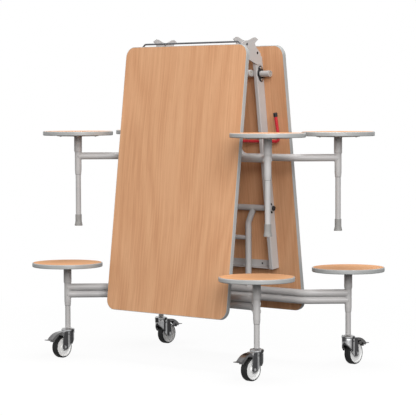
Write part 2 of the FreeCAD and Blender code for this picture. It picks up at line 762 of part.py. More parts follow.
def castorPedal():
    """Brake pedal: a bowed channel over the wheel with a flat lip, on its own cross pin."""
    half = pedal_width / 2
    inner = half - pedal_thickness
    channel = pedalSide(0, pedal_depth).extrude(Vector(pedal_width, 0, 0))
    channel.translate(Vector(-half, 0, 0))
    hollow = pedalSide(pedal_thickness, 2 * pedal_depth).extrude(Vector(2 * inner, 0, 0))
    hollow.translate(Vector(-inner, 0, 0))
    lip = roundedPlate(Vector(-half, pedal_bend - pedal_depth, pedal_lip_height - pedal_thickness),
                       Vector(half, pedal_reach, pedal_lip_height), pedal_lip_corner)
    lip = lip.cut(boxBetween(Vector(-half, 0, 0), Vector(half, pedal_bend - 1, castor_height)))
    shoe = boxBetween(Vector(-pedal_shoe, pedal_bend - 2 * pedal_shoe, pedal_lip_height - pedal_shoe_depth),
                      Vector(pedal_shoe, pedal_bend - pedal_shoe, pedal_lip_height + pedal_depth))
    under_tread = pedalSide(0, castor_height).extrude(Vector(pedal_width, 0, 0))
    under_tread.translate(Vector(-half, 0, 0))
    shoe = shoe.common(under_tread)
    pin_reach = fork_cheek + 2 * cover_thickness
    pin = circleAboutX(pedal_pivot_radius, -pin_reach, pin_reach, *pedalPivot())
    return channel.cut(hollow).multiFuse([lip, shoe, pin]).removeSplitter()


# --- placing and export -------------------------------------------------------------------

def placedFor(half, pieces, turn, at):
    placed = []
    for piece in pieces:
        shape = piece.copy()
        shape.Placement = FreeCAD.Placement(at, turn).multiply(shape.Placement)
        if half == "front":
            shape.rotate(Vector(0, 0, 0), z_axis, 180)
        placed.append(shape)
    return placed


def onLeaf(half, pieces):
    return placedFor(half, pieces, folded_turn, hinge_pin_at)


def onOuterFrame(half, pieces):
    return placedFor(half, pieces, FreeCAD.Rotation(), outer_pivot_at)


def onInnerFrame(half, pieces):
    return placedFor(half, pieces, FreeCAD.Rotation(), inner_pivot_at)


def onCastor(half, side, pieces):
    at = outer_pivot_at + legAt(side)
    return placedFor(half, pieces, FreeCAD.Rotation(), Vector(at.x, at.y, 0))


def leafNodes(half):
    outside = rear_rail_outside if half == "rear" else front_rail_outside
    holes = [(inner_pivot_y, bush_radius), (outer_pivot_y, bush_radius)]
    if half == "rear":
        holes.append((handle_y, handle_radius + bush_wall))
    return {
        "leaf_panel_" + half: [leafPanel()],
        "leaf_edge_band_" + half: [leafEdgeBand()],
        "leaf_rail_frame_" + half: railFrame(outside, holes),
        "hinge_plates_" + half: mirroredPair(hingePlate(outside)),
        "pivot_bushes_" + half: pivotBushes(outside),
        "flange_bolts_" + half: flangeBolts(outside),
    }


def outerFrameNodes(half):
    return {
        "outer_post_frame_" + half: outerPostFrame(),
        "outer_arm_tubes_" + half: outerArmTubes(),
        "outer_stool_legs_" + half: atBothLegs(stoolLeg(floor_z + castor_height + part_clearance)),
        "outer_tube_caps_" + half: outerTubeCaps(),
        "outer_seat_boards_" + half: atBothLegs(seatBoard()),
        "outer_seat_edges_" + half: atBothLegs(seatEdge()),
    }


def innerFrameNodes(half):
    return {
        "inner_frame_tubes_" + half: innerCrossTubes() + innerBentTubes(),
        "inner_stool_legs_" + half: atBothLegs(stoolLeg(floor_z + foot_sole)),
        "inner_seat_boards_" + half: atBothLegs(seatBoard()),
        "inner_seat_edges_" + half: atBothLegs(seatEdge()),
        "inner_feet_" + half: atBothLegs(rubberFoot()),
    }


def castorNodes(half, side, hand):
    name = half + "_" + hand
    return {
        "castor_fork_" + name: onCastor(half, side, castorFork()),
        "castor_cover_" + name: onCastor(half, side, castorCovers()),
        "castor_tyre_" + name: onCastor(half, side, [castorTyre()]),
        "castor_wheel_" + name: onCastor(half, side, [castorWheel()]),
        "castor_pedal_" + name: onCastor(half, side, [castorPedal()]),
    }


def allNodes():
    nodes = {}
    for half in ("front", "rear"):
        for name, pieces in leafNodes(half).items():
            nodes[name] = onLeaf(half, pieces)
        for name, pieces in outerFrameNodes(half).items():
            nodes[name] = onOuterFrame(half, pieces)
        for name, pieces in innerFrameNodes(half).items():
            nodes[name] = onInnerFrame(half, pieces)
        for side in (-1, 1):
            world_side = side if half == "rear" else -side
            nodes.update(castorNodes(half, side, "right" if world_side > 0 else "left"))
    nodes["hinge_pins"] = onLeaf("rear", mirroredPair(hingePin()))
    nodes["lock_handle"] = onLeaf("rear", [lockHandle()])
    nodes["lock_handle_caps"] = onLeaf("rear", lockHandleCaps())
    nodes["handle_bushes"] = onLeaf("rear", handleBushes(rear_rail_outside))
    nodes["pull_rod"] = onLeaf("front", [pullRod()])
    return nodes


def exportAll():
    os.makedirs("parts", exist_ok=True)
    for name, pieces in sorted(allNodes().items()):
        solids = [solid for piece in pieces for solid in piece.Solids]
        shape = solids[0] if len(solids) == 1 else Part.makeCompound(solids)
        shape.exportStep("parts/" + name + ".step")
        print(name, len(solids), shape.isValid(), round(shape.Volume))


exportAll()
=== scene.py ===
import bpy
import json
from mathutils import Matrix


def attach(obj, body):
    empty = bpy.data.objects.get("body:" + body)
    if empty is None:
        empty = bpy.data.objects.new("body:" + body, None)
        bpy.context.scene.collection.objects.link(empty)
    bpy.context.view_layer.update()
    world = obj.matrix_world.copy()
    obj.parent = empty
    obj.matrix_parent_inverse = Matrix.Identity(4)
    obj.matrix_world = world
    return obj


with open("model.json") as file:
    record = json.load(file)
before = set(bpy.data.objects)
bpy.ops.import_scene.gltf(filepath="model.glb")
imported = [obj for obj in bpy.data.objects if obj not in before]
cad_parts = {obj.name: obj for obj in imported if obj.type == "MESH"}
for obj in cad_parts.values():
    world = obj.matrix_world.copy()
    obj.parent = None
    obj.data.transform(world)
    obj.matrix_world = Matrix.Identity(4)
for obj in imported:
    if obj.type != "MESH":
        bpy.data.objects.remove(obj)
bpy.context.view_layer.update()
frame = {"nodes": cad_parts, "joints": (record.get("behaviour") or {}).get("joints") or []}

import json
import math

import bpy
from mathutils import Vector

# everything is in metres unless a name or a note says millimetres
mm = 0.001
# the front half of the table is the rear half turned half round about the vertical axis
halves = {"rear": 1, "front": -1}


def hexColour(text):
    channels = [int(text[i:i + 2], 16) / 255 for i in (1, 3, 5)]
    linear = [c / 12.92 if c <= 0.04045 else ((c + 0.055) / 1.055) ** 2.4 for c in channels]
    return (*linear, 1.0)


# camera first
cameraView = {
    "place": (5.9315, -6.5186, 1.187),
    "turnDegrees": (86.889, 0.2, 42.203),
    "lens": 165.6,
    "sensor": 36.0,
    "farEnd": 60.0,
}
cameraData = bpy.data.cameras.new("studioCamera")
cameraData.lens = cameraView["lens"]
cameraData.sensor_width = cameraView["sensor"]
cameraData.sensor_fit = "HORIZONTAL"
cameraData.clip_end = cameraView["farEnd"]
camera = bpy.data.objects.new("studioCamera", cameraData)
camera.location = cameraView["place"]
camera.rotation_euler = [math.radians(a) for a in cameraView["turnDegrees"]]
bpy.context.scene.collection.objects.link(camera)
bpy.context.scene.camera = camera
bpy.context.scene.view_settings.view_transform = "Standard"
print("camera placed")


def addNode(tree, kind, settings=None, links=None):
    node = tree.nodes.new(kind)
    for key, value in (settings or {}).items():
        if isinstance(key, int) or key in node.inputs:
            node.inputs[key].default_value = value
        else:
            setattr(node, key, value)
    for key, source in (links or {}).items():
        tree.links.new(source, node.inputs[key])
    return node


def newSurface(name, settings):
    material = bpy.data.materials.new(name)
    material.use_nodes = True
    tree = material.node_tree
    tree.nodes.clear()
    shader = addNode(tree, "ShaderNodeBsdfPrincipled", settings)
    addNode(tree, "ShaderNodeOutputMaterial", None, {"Surface": shader.outputs["BSDF"]})
    return material, tree, shader


# melamine-faced board with a beech print, pressed flat: long pale streaks, fine darker flecks and
# a soft satin skin with no open grain
beechMelamine = {
    "pale": "#DBA981",
    "middle": "#D4A078",
    "deep": "#CA946C",
    "fleck": "#BB855E",
    "deepAt": 0.30,
    "middleAt": 0.49,
    "paleAt": 0.68,
    "streakWidthMm": 8.0,
    "streakLengthMm": 420.0,
    "swayLengthMm": 500.0,
    "swayMm": 35.0,
    "archWidthMm": 260.0,
    "archLengthMm": 1500.0,
    "archLines": 9.0,
    "archShade": 0.09,
    "fleckWidthMm": 3.2,         # the real pores are 0.3 mm wide, drawn coarser so that they show
    "fleckLengthMm": 80.0,
    "fleckFrom": 0.56,
    "fleckFull": 0.74,
    "fleckShare": 0.42,
    "roughness": 0.52,
    "roughnessSpread": 0.05,
    "gloss": 0.16,
    "skinGrainMm": 3.0,
    "skinDepthMm": 0.2,
    "skinBump": 0.25,
}

# the seat discs share the board's beech print, painted paler as painted light for the stronger top light on
# their faces; their skin is duller
seatBeechPaintedLight = {
    "pale": "#EEB687",
    "middle": "#E7AD7E",
    "deep": "#DDA173",
    "fleck": "#CE9265",
    "roughness": 0.62,
    "gloss": 0.08,
}


def beechMelamineMaterial(name, look, across, along):
    material, tree, shader = newSurface(name, {"Specular IOR Level": look["gloss"], "IOR": 1.5})

    def drawnOut(widthMm, lengthMm):
        scale = [0.0, 0.0, 0.0]
        scale["xyz".index(across)] = 1 / (widthMm * mm)
        scale["xyz".index(along)] = 1 / (lengthMm * mm)
        return scale

    place = addNode(tree, "ShaderNodeTexCoord").outputs["Object"]
    # slow sideways sway keeps the streaks from running dead straight
    sway = addNode(tree, "ShaderNodeTexNoise", {"Scale": 1 / (look["swayLengthMm"] * mm), "Detail": 1.0},
                   {"Vector": place})
    swayed = addNode(tree, "ShaderNodeVectorMath",
                     {"operation": "MULTIPLY_ADD", 1: [look["swayMm"] * mm] * 3},
                     {0: sway.outputs["Color"], 2: place}).outputs[0]

    streakPlace = addNode(tree, "ShaderNodeMapping",
                          {"Scale": drawnOut(look["streakWidthMm"], look["streakLengthMm"])},
                          {"Vector": swayed})
    streaks = addNode(tree, "ShaderNodeTexNoise",
                      {"Scale": 1.0, "Detail": 4.0, "Roughness": 0.6, "Distortion": 0.1},
                      {"Vector": streakPlace.outputs[0]})

    # broad nested arches of the flat-sawn figure
    archPlace = addNode(tree, "ShaderNodeMapping",
                        {"Scale": drawnOut(look["archWidthMm"], look["archLengthMm"])}, {"Vector": swayed})
    archField = addNode(tree, "ShaderNodeTexNoise", {"Scale": 1.0, "Detail": 1.0, "Roughness": 0.4},
                        {"Vector": archPlace.outputs[0]})
    archCount = addNode(tree, "ShaderNodeMath", {"operation": "MULTIPLY", 1: look["archLines"]},
                        {0: archField.outputs[0]})
    archWave = addNode(tree, "ShaderNodeMath", {"operation": "PINGPONG", 1: 0.5}, {0: archCount.outputs[0]})
    arches = addNode(tree, "ShaderNodeMapRange",
                     {"From Min": 0.0, "From Max": 0.5, "To Min": -look["archShade"],
                      "To Max": look["archShade"]}, {"Value": archWave.outputs[0]})

    tone = addNode(tree, "ShaderNodeMath", {"operation": "ADD"},
                   {0: streaks.outputs[0], 1: arches.outputs[0]})
    ramp = addNode(tree, "ShaderNodeValToRGB", None, {"Fac": tone.outputs[0]})
    deepStop, paleStop = ramp.color_ramp.elements
    deepStop.position, deepStop.color = look["deepAt"], hexColour(look["deep"])
    paleStop.position, paleStop.color = look["paleAt"], hexColour(look["pale"])
    middleStop = ramp.color_ramp.elements.new(look["middleAt"])
    middleStop.color = hexColour(look["middle"])

    fleckPlace = addNode(tree, "ShaderNodeMapping",
                         {"Scale": drawnOut(look["fleckWidthMm"], look["fleckLengthMm"])}, {"Vector": swayed})
    flecks = addNode(tree, "ShaderNodeTexNoise", {"Scale": 1.0, "Detail": 2.0, "Roughness": 0.5},
                     {"Vector": fleckPlace.outputs[0]})
    fleckAmount = addNode(tree, "ShaderNodeMapRange",
                          {"From Min": look["fleckFrom"], "From Max": look["fleckFull"], "To Min": 0.0,
                           "To Max": look["fleckShare"]}, {"Value": flecks.outputs[0]})
    colour = addNode(tree, "ShaderNodeMix", {"data_type": "RGBA", 7: hexColour(look["fleck"])},
                     {0: fleckAmount.outputs[0], 6: ramp.outputs[0]})

    skin = addNode(tree, "ShaderNodeTexNoise", {"Scale": 1 / (look["skinGrainMm"] * mm), "Detail": 2.0},
                   {"Vector": place})
    gloss = addNode(tree, "ShaderNodeMapRange",
                    {"To Min": look["roughness"] - look["roughnessSpread"],
                     "To Max": look["roughness"] + look["roughnessSpread"]}, {"Value": skin.outputs[0]})
    bump = addNode(tree, "ShaderNodeBump",
                   {"Strength": look["skinBump"], "Distance": look["skinDepthMm"] * mm},
                   {"Height": skin.outputs[0]})
    tree.links.new(colour.outputs[2], shader.inputs["Base Color"])
    tree.links.new(gloss.outputs[0], shader.inputs["Roughness"])
    tree.links.new(bump.outputs[0], shader.inputs["Normal"])
    return material


# how deep a finish's grain is, as a share of its width
grainDepth = 0.12


def tonedMaterial(name, look):
    # one finish: its colour drifts a little over the surface, and its grain gives the roughness and bump
    material, tree, shader = newSurface(name, look["shader"])
    place = addNode(tree, "ShaderNodeTexCoord").outputs["Object"]
    cloud = addNode(tree, "ShaderNodeTexNoise",
                    {"Scale": 1 / (look["cloudMm"] * mm), "Detail": 3.0, "Roughness": 0.55},
                    {"Vector": place})
    spread = addNode(tree, "ShaderNodeMapRange", {"From Min": 0.3, "From Max": 0.7},
                     {"Value": cloud.outputs[0]})
    colour = addNode(tree, "ShaderNodeMix",
                     {"data_type": "RGBA", 6: hexColour(look["colour"]), 7: hexColour(look["drift"])},
                     {0: spread.outputs[0]})
    grain = addNode(tree, "ShaderNodeTexNoise", {"Scale": 1 / (look["grainMm"] * mm), "Detail": 2.0},
                    {"Vector": place})
    gloss = addNode(tree, "ShaderNodeMapRange",
                    {"From Min": 0.25, "From Max": 0.75,
                     "To Min": look["roughness"] - look["roughnessSpread"],
                     "To Max": look["roughness"] + look["roughnessSpread"]}, {"Value": grain.outputs[0]})
    bump = addNode(tree, "ShaderNodeBump",
                   {"Strength": look["bump"], "Distance": look["grainMm"] * mm * grainDepth},
                   {"Height": grain.outputs[0]})
    tree.links.new(colour.outputs[2], shader.inputs["Base Color"])
    tree.links.new(gloss.outputs[0], shader.inputs["Roughness"])
    tree.links.new(bump.outputs[0], shader.inputs["Normal"])
    return material


finishes = {
    # extruded ABS edging with round arrises: pale neutral grey, a little glossier than the board
    "extrudedAbsEdging": {
        "colour": "#ABACAB", "drift": "#A2A4A3", "cloudMm": 90, "grainMm": 4,
        "roughness": 0.34, "roughnessSpread": 0.04, "bump": 0.12,
        "shader": {"Specular IOR Level": 0.5, "IOR": 1.53},
    },
    # polyester powder coat, sprayed and baked: light grey with a shallow orange peel
    "powderCoatedSteel": {
        "colour": "#BDBBBA", "drift": "#B5B3B2", "cloudMm": 120, "grainMm": 3,
        "roughness": 0.42, "roughnessSpread": 0.05, "bump": 0.1,
        "shader": {"Specular IOR Level": 0.35, "IOR": 1.5},
    },
    # red polyester powder coat on the handle bar, smooth grade, so it has the sharpest gloss
    "redPowderCoat": {
        "colour": "#D0323C", "drift": "#C42C36", "cloudMm": 60, "grainMm": 3,
        "roughness": 0.28, "roughnessSpread": 0.04, "bump": 0.04,
        "shader": {"Specular IOR Level": 0.5, "IOR": 1.5},
    },
    # bright zinc plate, passivated: silvery with faint clouding
    "zincPlatedSteel": {
        "colour": "#CFCFCC", "drift": "#B7B8BA", "cloudMm": 14, "grainMm": 1.5,
        "roughness": 0.3, "roughnessSpread": 0.08, "bump": 0.1,
        "shader": {"Metallic": 1.0},
    },
    # pressed steel of the castors, zinc plated: duller, and streaked by the press tool
    "pressedCastorSteel": {
        "colour": "#CBCBCB", "drift": "#B4B5B7", "cloudMm": 18, "grainMm": 1.2,
        "roughness": 0.36, "roughnessSpread": 0.06, "bump": 0.06,
        "shader": {"Metallic": 1.0},
    },
    # brake pedals: the same pressing, its colour darkened as a painted shade for the dark reflections they
    # show, and rubbed smooth by shoes
    "shadedPedalSteel": {
        "colour": "#8B8A89", "drift": "#727173", "cloudMm": 14, "grainMm": 1.2,
        "roughness": 0.24, "roughnessSpread": 0.07, "bump": 0.05,
        "shader": {"Metallic": 1.0},
    },
    # drawn steel rod with a dark phosphate finish: dull grey with a soft line of light along it
    "phosphatedRod": {
        "colour": "#6E6E71", "drift": "#5F6063", "cloudMm": 40, "grainMm": 1.5,
        "roughness": 0.4, "roughnessSpread": 0.06, "bump": 0.1,
        "shader": {"Metallic": 0.8},
    },
    # black injection-moulded nylon: fine spark-eroded texture, low sheen
    "mouldedBlackNylon": {
        "colour": "#1B1C1E", "drift": "#232427", "cloudMm": 20, "grainMm": 1.2,
        "roughness": 0.42, "roughnessSpread": 0.07, "bump": 0.2,
        "shader": {"Specular IOR Level": 0.45, "IOR": 1.53},
    },
    # moulded graphite nylon of the castor covers: dark grey with a dull, slightly mottled skin
    "mouldedGraphiteNylon": {
        "colour": "#3A3A3C", "drift": "#313133", "cloudMm": 16, "grainMm": 1.2,
        "roughness": 0.4, "roughnessSpread": 0.08, "bump": 0.22,
        "shader": {"Specular IOR Level": 0.45, "IOR": 1.53},
    },
    # natural nylon, uncoloured: milky white with some light inside it
    "naturalNylon": {
        "colour": "#E8E4DA", "drift": "#DED9CD", "cloudMm": 20, "grainMm": 1.5,
        "roughness": 0.38, "roughnessSpread": 0.05, "bump": 0.1,
        "shader": {"Subsurface Weight": 0.15, "Subsurface Radius": (0.004, 0.0035, 0.003), "IOR": 1.53},
    },
    # white moulded polyamide of the wheel centres, a little scuffed
    "mouldedWheelCentre": {
        "colour": "#F0F0EE", "drift": "#E2E2E2", "cloudMm": 12, "grainMm": 1.5,
        "roughness": 0.4, "roughnessSpread": 0.06, "bump": 0.12,
        "shader": {"Specular IOR Level": 0.45, "IOR": 1.5},
    },
    # vulcanised rubber tyre: near black, matt tread with greyed dust
    "vulcanisedTyreRubber": {
        "colour": "#0B0B0C", "drift": "#151516", "cloudMm": 18, "grainMm": 1.5,
        "roughness": 0.62, "roughnessSpread": 0.1, "bump": 0.3,
        "shader": {"Specular IOR Level": 0.35, "IOR": 1.52},
    },
    # light grey moulded nylon of the tube plugs: a shade flatter and warmer than the paint
    "mouldedGreyNylon": {
        "colour": "#A9A5A0", "drift": "#9C9893", "cloudMm": 14, "grainMm": 1.2,
        "roughness": 0.42, "roughnessSpread": 0.06, "bump": 0.15,
        "shader": {"Specular IOR Level": 0.45, "IOR": 1.53},
    },
    # black-oxide steel of the small screws and bolts: oiled, so it keeps a dull sheen
    "blackOxideSteel": {
        "colour": "#1C1C1E", "drift": "#27272A", "cloudMm": 5, "grainMm": 0.8,
        "roughness": 0.4, "roughnessSpread": 0.08, "bump": 0.1,
        "shader": {"Metallic": 0.5},
    },
    # grey moulded rubber of the feet: soft, matt and slightly uneven
    "mouldedGreyRubber": {
        "colour": "#999896", "drift": "#8E8D8A", "cloudMm": 22, "grainMm": 1.8,
        "roughness": 0.6, "roughnessSpread": 0.07, "bump": 0.22,
        "shader": {"Specular IOR Level": 0.35, "IOR": 1.52},
    },
}
surfaces = {name: tonedMaterial(name, look) for name, look in finishes.items()}
surfaces["beechMelamineLeaf"] = beechMelamineMaterial("beechMelamineLeaf", beechMelamine,
                                                      across="x", along="z")
# the seats get the paler copy of the beech, a painted light
surfaces["beechMelamineSeatPaintedLight"] = beechMelamineMaterial("beechMelamineSeatPaintedLight", {**beechMelamine, **seatBeechPaintedLight},
                                                      across="y", along="x")
print("materials made:", len(surfaces))

# start of a node's name, then its finish; the longest start that fits counts
nodeFinishes = {
    "leaf_panel": "beechMelamineLeaf",
    "outer_seat_boards": "beechMelamineSeatPaintedLight",
    "inner_seat_boards": "beechMelamineSeatPaintedLight",
    "leaf_edge_band": "extrudedAbsEdging",
    "outer_seat_edges": "extrudedAbsEdging",
    "inner_seat_edges": "extrudedAbsEdging",
    "leaf_rail_frame": "powderCoatedSteel",
    "outer_post_frame": "powderCoatedSteel",
    "outer_arm_tubes": "powderCoatedSteel",
    "outer_stool_legs": "powderCoatedSteel",
    "inner_frame_tubes": "powderCoatedSteel",
    "inner_stool_legs": "powderCoatedSteel",
    "hinge_plates": "powderCoatedSteel",
    "hinge_pins": "zincPlatedSteel",
    "flange_bolts": "zincPlatedSteel",
    "pivot_bushes": "mouldedBlackNylon",
    "outer_tube_caps": "mouldedBlackNylon",
    "lock_handle": "redPowderCoat",
    "lock_handle_caps": "mouldedBlackNylon",
    "handle_bushes": "naturalNylon",
    "pull_rod": "phosphatedRod",
    "inner_feet": "mouldedGreyRubber",
    "castor_fork": "pressedCastorSteel",
    # the pedals take the darkened copy of the castor steel, a painted shade
    "castor_pedal": "shadedPedalSteel",
    "castor_cover": "mouldedGraphiteNylon",
    "castor_tyre": "vulcanisedTyreRubber",
    "castor_wheel": "mouldedWheelCentre",
}


def finishFor(nodeName):
    fits = [start for start in nodeFinishes if nodeName.startswith(start)]
    return surfaces[nodeFinishes[max(fits, key=len)]]


for nodeName, node in frame["nodes"].items():
    finish = finishFor(nodeName)
    for materialSlot in node.material_slots:
        materialSlot.material = finish
    if not node.material_slots:
        node.data.materials.append(finish)
print("finishes given to", len(frame["nodes"]), "nodes")


def meshPiece(name, points, faces, body, finish):
    mesh = bpy.data.meshes.new(name)
    mesh.from_pydata([tuple(p) for p in points], [], faces)
    mesh.validate()
    mesh.shade_smooth()
    mesh.materials.append(surfaces[finish])
    piece = bpy.data.objects.new(name, mesh)
    bpy.context.scene.collection.objects.link(piece)
    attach(piece, body)


# the frame's joints say where everything turns
joints = {joint["name"]: joint for joint in frame["joints"]}


def jointPlace(name):
    # in millimetres
    return Vector(joints[name]["pos_m"]) / mm


pivots = {"outer": jointPlace("rear_leaf_fold"), "inner": jointPlace("rear_inner_pivot")}
hingePin = jointPlace("centre_hinge")
foldTurn = math.radians(joints["rear_leaf_fold"]["range_deg"][1])
legReach = jointPlace("castor_swivel_rear_right") - pivots["outer"]

# one stool frame, in millimetres from its pivot, with the sizes of the CAD
stoolFrame = {
    "pivotRadius": 14.0,
    "postHalf": 112.0,
    "postSplay": 34.0,
    "postSplayHeight": 69.0,
    "postRadius": 14.0,
    "braceDrop": 141.0,
    "braceRadius": 10.5,
    "armDrop": 379.0,
    "lowerArmDrop": 412.2,
    "armRadius": 16.5,
    "armCorner": 444.0,
    "plateBottom": -286.0,
    "plateSide": 146.0,
    "sleeveRadius": 18.5,
    "sleeveLength": 68.0,
    "coneLength": 9.0,
    "collarLength": 82.0,
    "collarTaper": 20.0,
    "collarRadius": 15.7,
}
stoolFrames = [(kind, half) for kind in ("outer", "inner") for half in halves]


def legPoint(side, height):
    # on the axis of a stool leg, in millimetres about the frame's pivot
    return Vector((side * legReach.x, legReach.y, height))


def framePoint(point, kind, half):
    # from millimetres about a frame's pivot to its place in the table
    side, pivot = halves[half], pivots[kind]
    return Vector((side * point.x, side * (point.y + pivot.y), point.z + pivot.z)) * mm


# fillet welds: a convex bead with close ripples, under the coating; short tacks join the arm tubes
weldBeads = {"radiusMm": 2.0, "rippleMm": 5.0, "rippleDepth": 0.16, "stepMm": 2.0, "sides": 6,
             "seamSteps": 48, "endShare": 0.35, "endRings": 2, "besideSleeveMm": 0.5,
             "tackLengthMm": 28.0, "tackOutMm": 300.0, "tackApartMm": 7.5, "tackSinkMm": 0.1}


def tubeSeam(axisPoint, direction, radius, carrierPoint, carrierDirection, carrierRadius):
    # where one tube's skin meets another's, as a closed line of points
    d = Vector(direction).normalized()
    a = Vector(carrierDirection).normalized()
    u = d.orthogonal().normalized()
    v = d.cross(u)
    line = []
    steps = weldBeads["seamSteps"]
    for i in range(steps):
        turn = 2 * math.pi * i / steps
        start = Vector(axisPoint) + (u * math.cos(turn) + v * math.sin(turn)) * radius
        offset = start - Vector(carrierPoint)
        flatDirection = d - a * d.dot(a)
        flatOffset = offset - a * offset.dot(a)
        lead = flatDirection.dot(flatDirection)
        middle = flatDirection.dot(flatOffset)
        rest = flatOffset.dot(flatOffset) - carrierRadius ** 2
        reach = (-middle + math.sqrt(max(middle * middle - lead * rest, 0.0))) / lead
        line.append(start + d * reach)
    return line


def circleLine(centre, radius, steps):
    turns = [2 * math.pi * i / steps for i in range(steps)]
    return [Vector(centre) + Vector((math.cos(t), math.sin(t), 0)) * radius for t in turns]


def beadAlong(line, closed, points, faces):
    # adds a rippled bead along a line given in millimetres
    look = weldBeads
    sides = look["sides"]
    count = len(line)
    travelled = 0.0
    base = len(points)
    for i in range(count):
        before = line[i - 1] if closed or i else line[0]
        after = line[(i + 1) % count] if closed or i < count - 1 else line[i]
        along = (after - before).normalized()
        if i:
            travelled += (line[i] - line[i - 1]).length
        ripple = 1 + look["rippleDepth"] * math.cos(2 * math.pi * travelled / look["rippleMm"])
        fromEnd = count if closed else min(i, count - 1 - i)
        swell = min(1.0, look["endShare"] + (1 - look["endShare"]) * fromEnd / look["endRings"])
        u = along.orthogonal().normalized() if i == 0 else (u - along * u.dot(along)).normalized()
        v = along.cross(u)
        for k in range(sides):
            turn = 2 * math.pi * k / sides
            spoke = (u * math.cos(turn) + v * math.sin(turn)) * (look["radiusMm"] * ripple * swell)
            points.append(line[i] + spoke)
    rings = count if closed else count - 1
    for i in range(rings):
        here = base + i * sides
        there = base + ((i + 1) % count) * sides
        for k in range(sides):
            faces.append((here + k, here + (k + 1) % sides, there + (k + 1) % sides, there + k))
    if not closed:
        faces.append(tuple(base + k for k in reversed(range(sides))))
        faces.append(tuple(base + (count - 1) * sides + k for k in range(sides)))


def denser(line, closed, stepMm):
    # evenly spaced points along a line, close enough for the ripples
    ends = line + line[:1] if closed else line
    dense = []
    for a, b in zip(ends[:-1], ends[1:]):
        parts = max(1, round((b - a).length / stepMm))
        dense += [a.lerp(b, i / parts) for i in range(parts)]
    if not closed:
        dense.append(ends[-1])
    return dense


def frameWelds(kind):
    # the weld lines of one stool frame about its pivot, in millimetres, and whether each is closed
    at, look = stoolFrame, weldBeads
    inner = kind == "inner"
    pivot, sideways, upwards = (0, 0, 0), (1, 0, 0), (0, 0, 1)
    postRadius = at["armRadius"] if inner else at["postRadius"]
    lines = []

    def addSeam(*tubes):
        lines.append((tubeSeam(*tubes), True))

    for side in (-1, 1):
        post = side * at["postHalf"]
        if inner:
            addSeam((post, 0, 0), (0, 0, -1), postRadius, pivot, sideways, at["pivotRadius"])
        else:
            top = (post + side * at["postSplay"], 0, 0)
            splay = (-side * at["postSplay"], 0, -at["postSplayHeight"])
            addSeam(top, splay, postRadius, pivot, sideways, at["pivotRadius"])
            addSeam((post, 0, -at["armDrop"]), upwards, postRadius,
                    (0, 0, -at["armDrop"]), sideways, at["armRadius"])
            tackHalf = look["tackLengthMm"] / 2
            height = -at["armDrop"] - at["armRadius"] - look["tackSinkMm"]
            for out in (-look["tackApartMm"], look["tackApartMm"]):
                for centre in (post, side * look["tackOutMm"]):
                    ends = [Vector((centre + reach, out, height)) for reach in (-tackHalf, tackHalf)]
                    lines.append((ends, False))
        addSeam((post, 0, -at["braceDrop"]), (-side, 0, 0), at["braceRadius"],
                (post, 0, 0), upwards, postRadius)
        leg = legPoint(side, 0)
        corner = Vector((side * at["armCorner"], 0, 0))
        for drop in ([at["armDrop"]] if inner else [at["armDrop"], at["lowerArmDrop"]]):
            armEnd = leg - Vector((0, 0, drop))
            addSeam(armEnd, corner - leg, at["armRadius"], leg, upwards, at["collarRadius"])
        underPlate = legPoint(side, at["plateBottom"])
        lines.append((circleLine(underPlate, at["sleeveRadius"] + look["besideSleeveMm"], look["seamSteps"]),
                      True))
    return lines


for kind, half in stoolFrames:
    points, faces = [], []
    for line, closed in frameWelds(kind):
        beadAlong(denser(line, closed, weldBeads["stepMm"]), closed, points, faces)
    placed = [framePoint(p, kind, half) for p in points]
    meshPiece(kind + "FrameWelds_" + half, placed, faces, kind + "_frame_" + half,
              "powderCoatedSteel")
print("welds laid")


def turnedPiece(profile, at, outwards, sides, points, faces, hexRings=0):
    # profile is (radius, height along outwards) in millimetres, closed at both ends; the last
    # hexRings of it are pulled to a hexagon
    axis = Vector(outwards).normalized()
    u = axis.orthogonal().normalized()
    v = axis.cross(u)
    base = len(points)
    for ring, (radius, height) in enumerate(profile):
        for k in range(sides):
            turn = 2 * math.pi * k / sides
            reach = radius * mm
            if ring >= len(profile) - hexRings:
                reach *= math.cos(math.pi / 6) / math.cos(turn % (math.pi / 3) - math.pi / 6)
            points.append(at + (u * math.cos(turn) + v * math.sin(turn)) * reach + axis * (height * mm))
    for ring in range(len(profile) - 1):
        for k in range(sides):
            a = base + ring * sides + k
            b = base + ring * sides + (k + 1) % sides
            faces.append((a, b, b + sides, a + sides))
    faces.append(tuple(base + k for k in reversed(range(sides))))
    faces.append(tuple(base + (len(profile) - 1) * sides + k for k in range(sides)))


# pan-head screws with a hexagon socket; the dome is in shares of the head's radius and height
panScrew = {"headRadiusMm": 4.6, "headHeightMm": 2.6, "dome": ((0.97, 0.45), (0.85, 0.8), (0.6, 1.0)),
            "sunkShare": 0.96, "sunkMm": 0.4, "rimMm": 0.2, "socketRadiusMm": 2.0,
            "socketDepthMm": 1.5, "socketRimMm": 0.24, "socketBevelMm": 0.2, "sides": 24}


def screwHead(at, outwards, points, faces):
    look = panScrew
    radius, height, socket = look["headRadiusMm"], look["headHeightMm"], look["socketRadiusMm"]
    profile = [(radius * look["sunkShare"], -look["sunkMm"]), (radius, look["rimMm"])]
    profile += [(radius * across, height * up) for across, up in look["dome"]]
    profile += [(socket + look["socketRimMm"], height), (socket, height - look["socketBevelMm"]),
                (socket, height - look["socketDepthMm"])]
    turnedPiece(profile, at, outwards, look["sides"], points, faces, hexRings=2)


# four screws under each seat plate
seatScrews = {"insetMm": 15.0}
for kind, half in stoolFrames:
    points, faces = [], []
    reach = stoolFrame["plateSide"] / 2 - seatScrews["insetMm"]
    for side in (-1, 1):
        leg = legPoint(side, stoolFrame["plateBottom"])
        for dx in (-reach, reach):
            for dy in (-reach, reach):
                screwHead(framePoint(leg + Vector((dx, dy, 0)), kind, half), (0, 0, -1), points, faces)
    meshPiece(kind + "SeatScrews_" + half, points, faces, kind + "_frame_" + half,
              "zincPlatedSteel")
print("seat screws driven")
